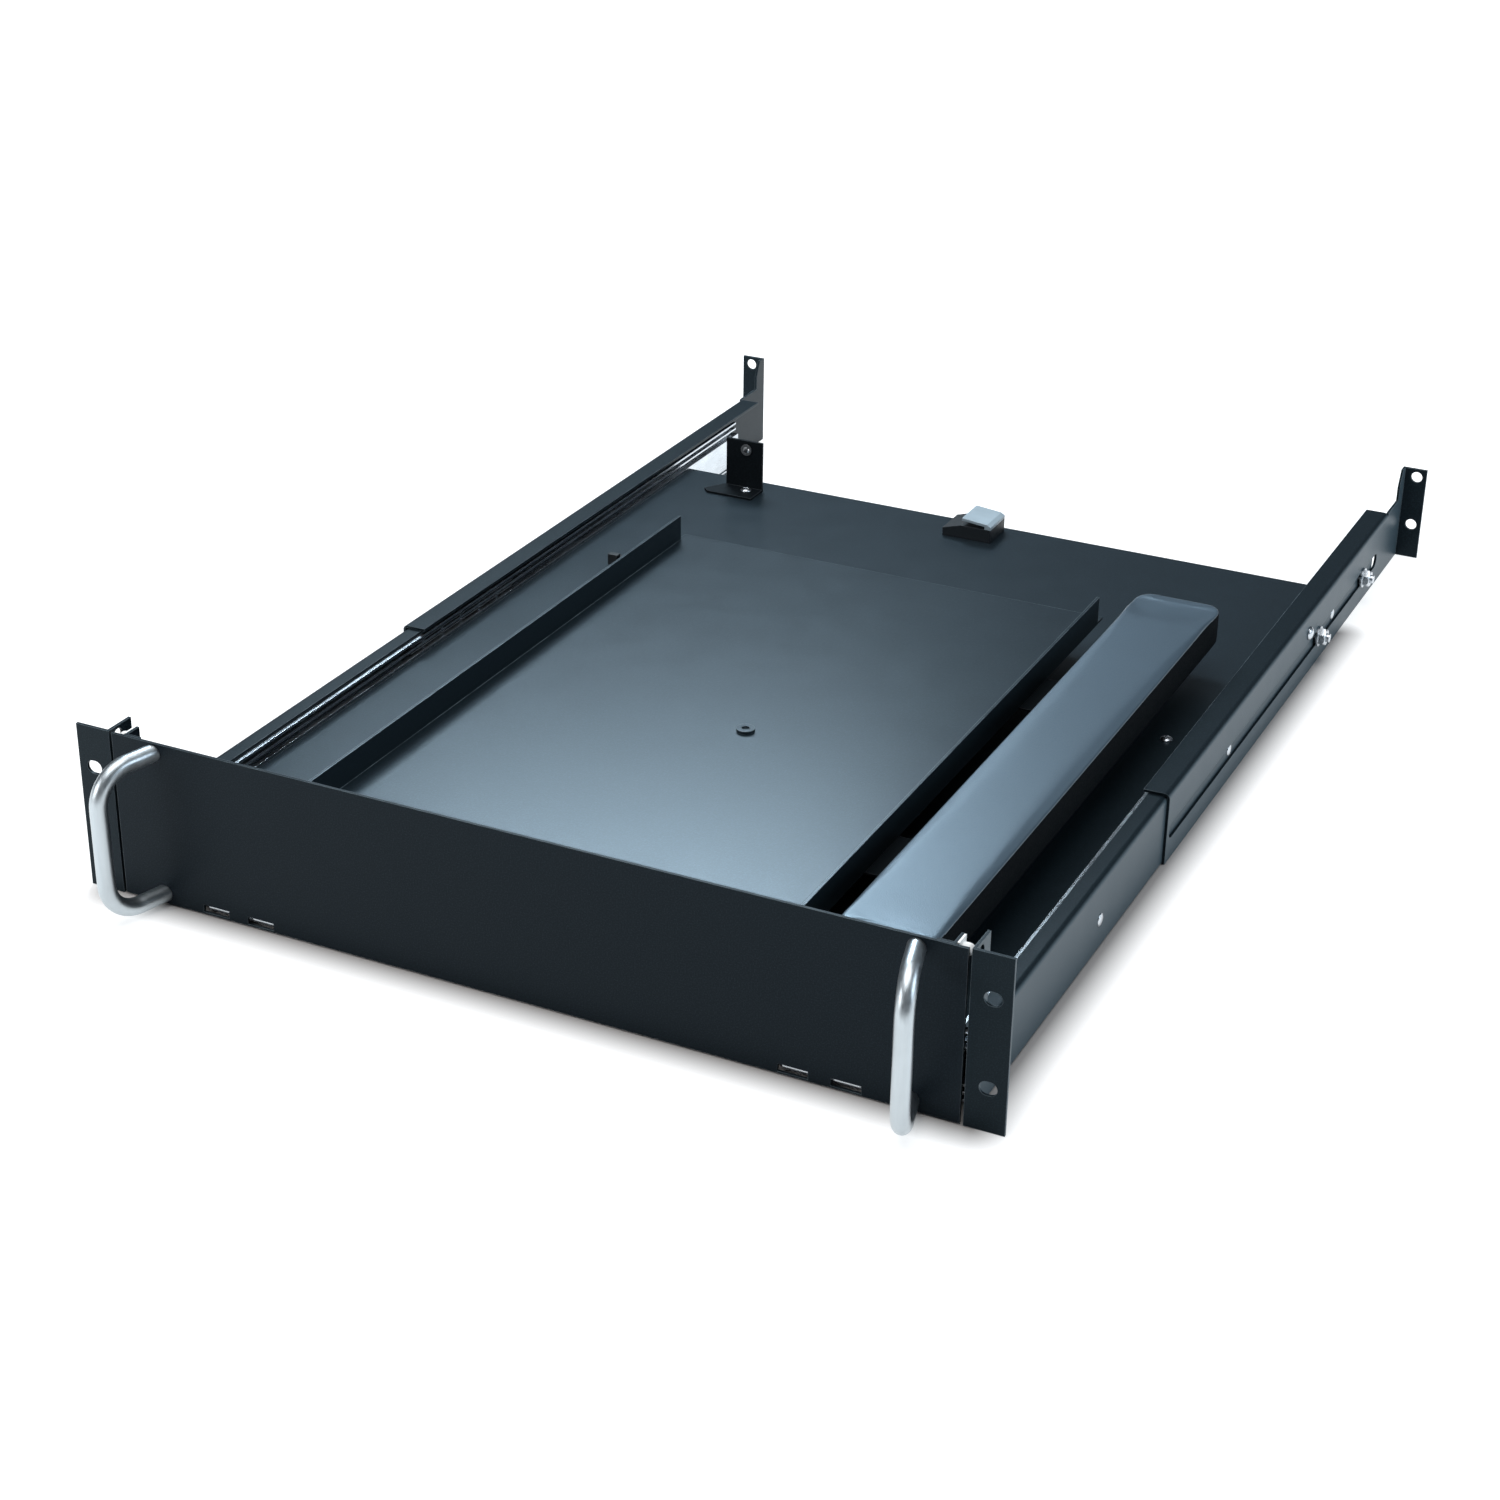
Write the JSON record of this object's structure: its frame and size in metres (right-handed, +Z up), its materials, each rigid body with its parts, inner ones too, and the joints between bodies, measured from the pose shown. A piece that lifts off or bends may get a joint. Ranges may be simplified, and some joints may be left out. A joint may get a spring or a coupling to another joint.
{
  "type": "rack keyboard drawer",
  "caption": "Two-unit rack keyboard drawer on ball slides, with a fold-down handled front and a platform with wrist rest that turns a quarter turn.",
  "frame": {"origin": "midway between the four front rack holes, on the front face of the ears", "axes": "+X to the right seen from the front, +Y to the back of the rack, +Z up"},
  "size_m": [0.4826, 0.7603, 0.0882],
  "materials": {
    "coat_black": "satin textured powder coat",
    "coat_grey": "satin powder coat",
    "zinc": "bright zinc plate",
    "steel": "polished",
    "satin_aluminium": "satin anodised",
    "dark_plastic": "moulded",
    "grey_plastic": "moulded",
    "nylon": "moulded",
    "cushion": "fine leather-like grain over foam rubber"
  },
  "bodies": {
    "rack_mount": {"left_front_bracket": "coat_black", "right_front_bracket": "coat_black", "left_rear_bracket": "coat_grey", "right_rear_bracket": "coat_grey", "rail_studs": "zinc", "rail_washers": "zinc", "rail_nuts": "zinc", "rail_rivets": "zinc", "slide_rivets": "zinc", "left_outer_slide": "zinc", "right_outer_slide": "zinc"},
    "middle_slides": {"left_middle_slide": "zinc", "right_middle_slide": "zinc"},
    "outer_cages": {"outer_ball_cages": "steel", "outer_cage_balls": "steel"},
    "inner_cages": {"inner_ball_cages": "steel", "inner_cage_balls": "steel"},
    "drawer": {"left_inner_slide": "zinc", "right_inner_slide": "zinc", "slide_screws": "zinc", "floor_tray": "coat_grey", "floor_screw": "zinc", "left_fixed_leaf": "zinc", "right_fixed_leaf": "zinc", "hinge_pins": "steel", "hinge_rivets": "zinc", "turntable_pedestal": "zinc", "pedestal_rivets": "zinc", "lower_ring": "zinc", "pivot_bolt": "coat_grey", "pivot_washer": "zinc", "pivot_nut": "zinc", "platform_stop": "dark_plastic", "cable_arm_bracket": "coat_black", "arm_eyelet": "steel", "arm_screw": "zinc", "cable_clip_base": "dark_plastic", "cable_clip_top": "grey_plastic"},
    "drop_front": {"front_panel": "coat_black", "left_panel_angle": "coat_black", "right_panel_angle": "coat_black", "left_panel_catch": "nylon", "right_panel_catch": "nylon", "catch_rivets": "zinc", "left_handle": "satin_aluminium", "right_handle": "satin_aluminium", "handle_screws": "zinc", "left_moving_leaf": "zinc", "right_moving_leaf": "zinc"},
    "ring_cage": {"ring_cage": "grey_plastic", "ring_balls": "steel"},
    "platform": {"upper_ring": "zinc", "keyboard_platform": "coat_grey", "rest_bracket": "coat_black", "wrist_rest": "cushion", "rest_screws": "zinc"}
  },
  "joints": [
    {"name": "drawer_slide", "type": "slide", "parent": "rack_mount", "child": "drawer", "axis": [0, -1, 0], "range_m": [0, 0.45]},
    {"name": "middle_slide", "type": "slide", "parent": "rack_mount", "child": "middle_slides", "axis": [0, -1, 0], "range_m": [0, 0.225]},
    {"name": "outer_cage_slide", "type": "slide", "parent": "rack_mount", "child": "outer_cages", "axis": [0, -1, 0], "range_m": [0, 0.1125]},
    {"name": "inner_cage_slide", "type": "slide", "parent": "rack_mount", "child": "inner_cages", "axis": [0, -1, 0], "range_m": [0, 0.3375]},
    {"name": "panel_fold", "type": "hinge", "parent": "drawer", "child": "drop_front", "pos_m": [0, 0.00425, -0.04105], "axis": [1, 0, 0], "range_deg": [0, 90]},
    {"name": "platform_spin", "type": "hinge", "parent": "drawer", "child": "platform", "pos_m": [0.0115, 0.216, 0.00295], "axis": [0, 0, -1], "range_deg": [0, 90]},
    {"name": "ring_cage_spin", "type": "hinge", "parent": "drawer", "child": "ring_cage", "pos_m": [0.0115, 0.216, -0.00205], "axis": [0, 0, -1], "range_deg": [0, 45]}
  ],
  "couplings": [
    {"joint": "middle_slide", "follows": "drawer_slide", "ratio": 0.5},
    {"joint": "outer_cage_slide", "follows": "drawer_slide", "ratio": 0.25},
    {"joint": "inner_cage_slide", "follows": "drawer_slide", "ratio": 0.75},
    {"joint": "platform_spin", "follows": "panel_fold", "ratio": 1},
    {"joint": "ring_cage_spin", "follows": "panel_fold", "ratio": 0.5}
  ]
}
